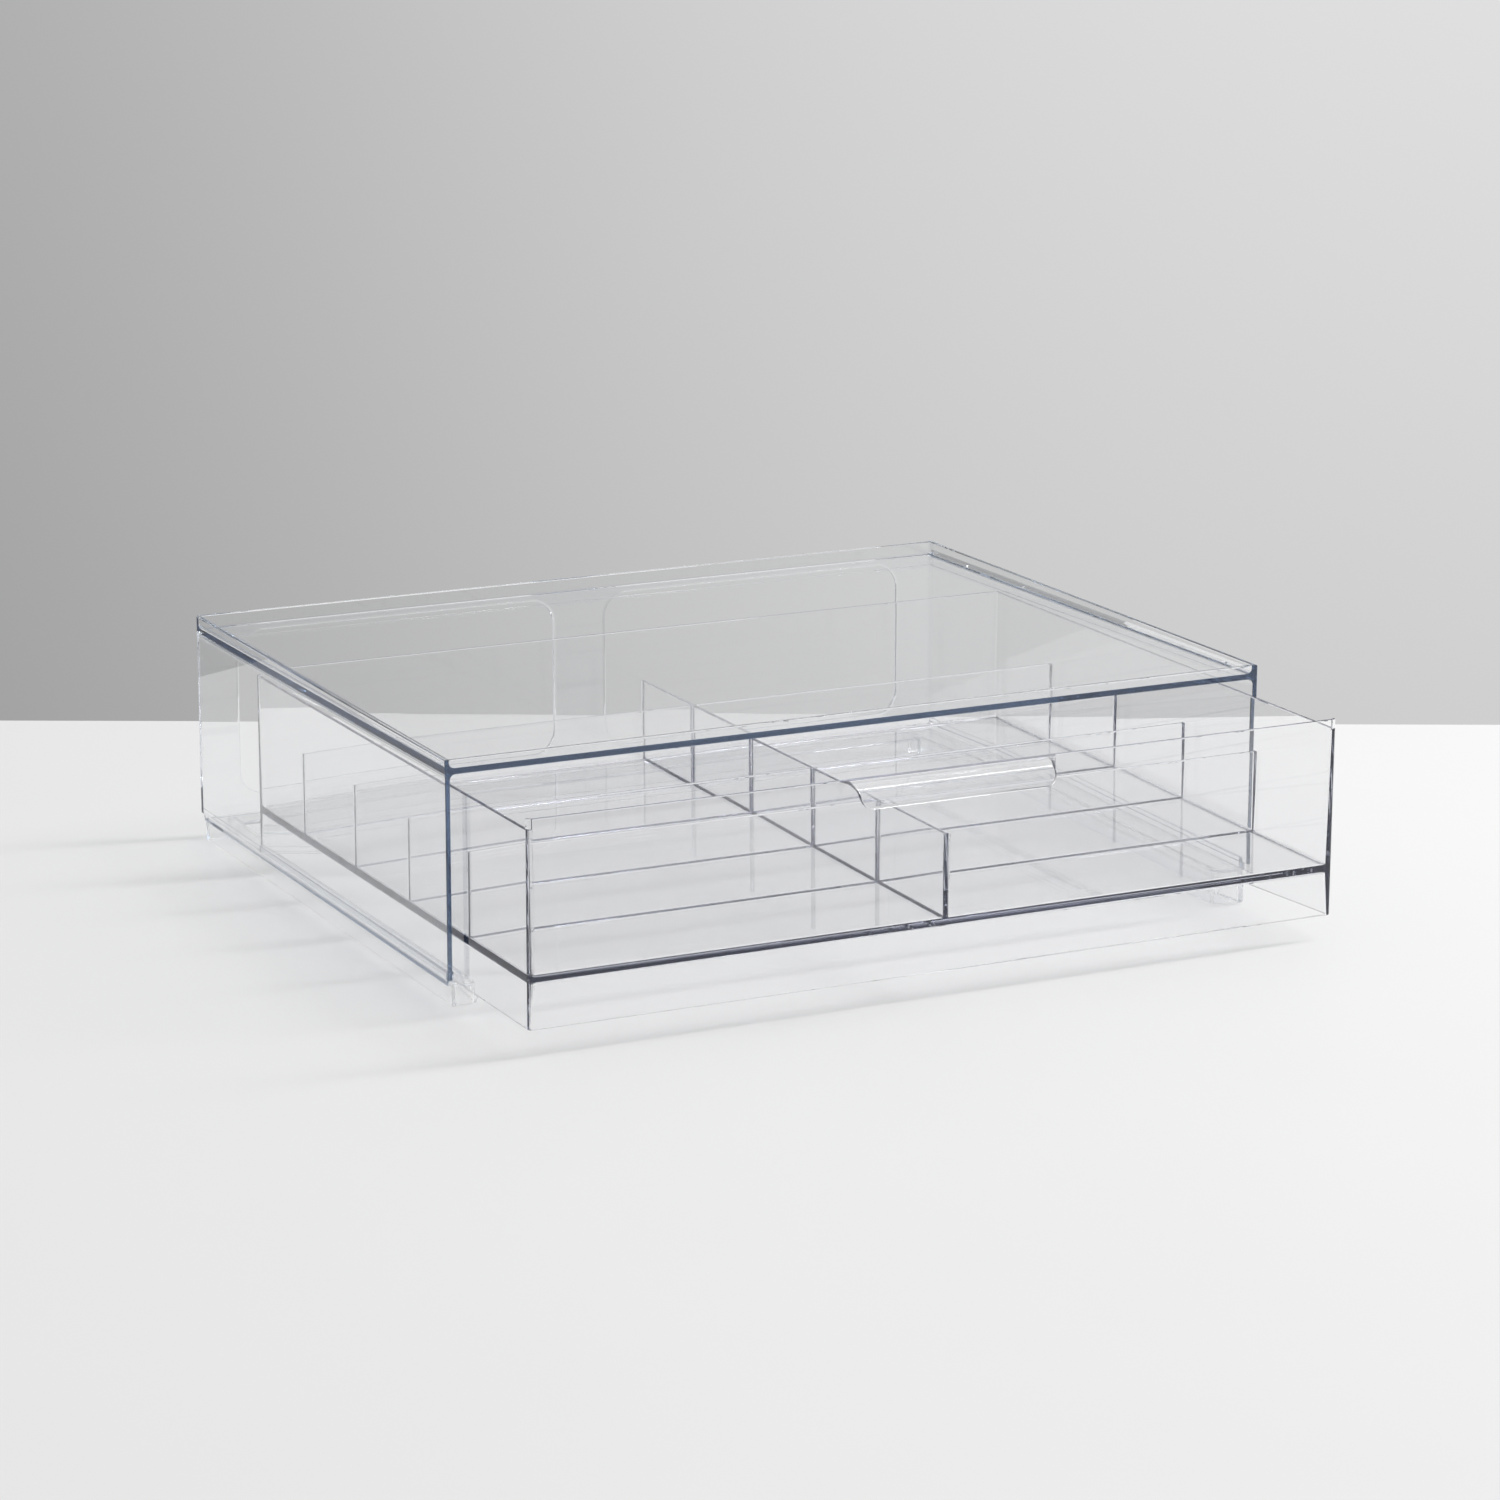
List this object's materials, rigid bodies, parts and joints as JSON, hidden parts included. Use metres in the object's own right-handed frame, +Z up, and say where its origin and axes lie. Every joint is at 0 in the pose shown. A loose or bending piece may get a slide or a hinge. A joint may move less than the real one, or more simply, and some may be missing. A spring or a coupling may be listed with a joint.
{
  "type": "eyeglasses drawer organizer",
  "caption": "Low clear case, open at the front, with one sliding drawer parted into compartments for folded eyeglasses; finger lip on the drawer, windows in the back.",
  "frame": {"origin": "on the table, in the middle of the overall footprint with the drawer part open", "axes": "+X to the right of someone facing the drawer, +Y to the back, +Z up"},
  "size_m": [0.365, 0.3562, 0.0996],
  "materials": {
    "case_clear": "clear polished plastic, faint blue in the edges",
    "drawer_clear": "clear polished plastic, faint blue in the edges"
  },
  "bodies": {
    "case": {"case_top_panel": "case_clear", "case_front_rim": "case_clear", "case_left_side": "case_clear", "case_right_side": "case_clear", "case_back_panel": "case_clear", "left_base_rail": "case_clear", "right_base_rail": "case_clear", "back_base_rail": "case_clear"},
    "drawer": {"drawer_front": "drawer_clear", "drawer_back": "drawer_clear", "drawer_left_side": "drawer_clear", "drawer_right_side": "drawer_clear", "drawer_floor": "drawer_clear", "spine_divider": "drawer_clear", "left_cross_divider_1": "drawer_clear", "left_cross_divider_2": "drawer_clear", "left_cross_divider_3": "drawer_clear", "left_cross_divider_4": "drawer_clear", "right_cross_divider_1": "drawer_clear", "right_cross_divider_2": "drawer_clear", "right_cross_divider_3": "drawer_clear", "right_cross_divider_4": "drawer_clear", "finger_lip": "drawer_clear"}
  },
  "joints": [
    {"name": "drawer_slide", "type": "slide", "parent": "case", "child": "drawer", "axis": [0, -1, 0], "range_m": [-0.065, 0.15]}
  ]
}
